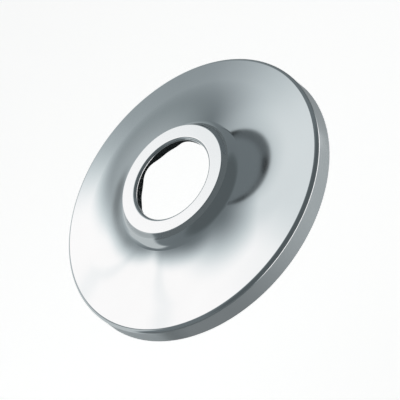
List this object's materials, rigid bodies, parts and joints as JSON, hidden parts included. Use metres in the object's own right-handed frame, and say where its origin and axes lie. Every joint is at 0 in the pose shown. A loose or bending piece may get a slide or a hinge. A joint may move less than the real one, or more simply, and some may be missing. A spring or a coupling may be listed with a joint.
{
  "type": "pipe escutcheon",
  "caption": "Round chrome-plated pipe escutcheon: a shallow pressed bell with a flat ring and a turned-in, scalloped lip that grips the pipe where it meets a wall.",
  "frame": {"origin": "centre of the rim's back, on the wall plane", "axes": "+Z along the pipe's axis, from the wall towards the flat ring; +Y through the middle of one tongue"},
  "size_m": [0.0604, 0.0604, 0.0096],
  "materials": {
    "chrome": "bright plated, polished"
  },
  "bodies": {
    "root": {"escutcheon": "chrome"}
  },
  "joints": []
}
